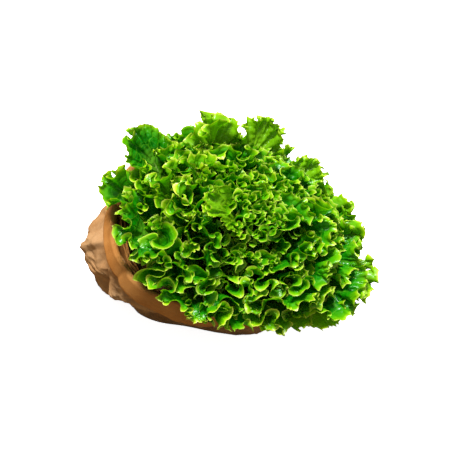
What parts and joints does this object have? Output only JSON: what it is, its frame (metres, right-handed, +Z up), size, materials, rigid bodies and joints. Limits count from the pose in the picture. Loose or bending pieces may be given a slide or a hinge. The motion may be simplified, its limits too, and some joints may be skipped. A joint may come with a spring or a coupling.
{
  "type": "green leaf lettuce",
  "caption": "Loose head of frilled green leaf lettuce standing in an open kraft paper bag whose top is folded down into a cuff.",
  "frame": {"origin": "on the floor, under the middle of the bag's flat base", "axes": "+X along the longer side of the bag's base, +Y along its shorter side, +Z up"},
  "size_m": [0.2954, 0.2505, 0.1981],
  "materials": {
    "kraft_paper": "matt crumpled brown kraft paper",
    "lettuce_leaf": "satin, slightly translucent green leaf, paler at the veins and margins",
    "lettuce_stalk": "moist pale green-white stalk"
  },
  "bodies": {
    "root": {"paper_bag": "kraft_paper", "lettuce_leaves": "lettuce_leaf", "lettuce_stem": "lettuce_stalk"}
  },
  "joints": []
}
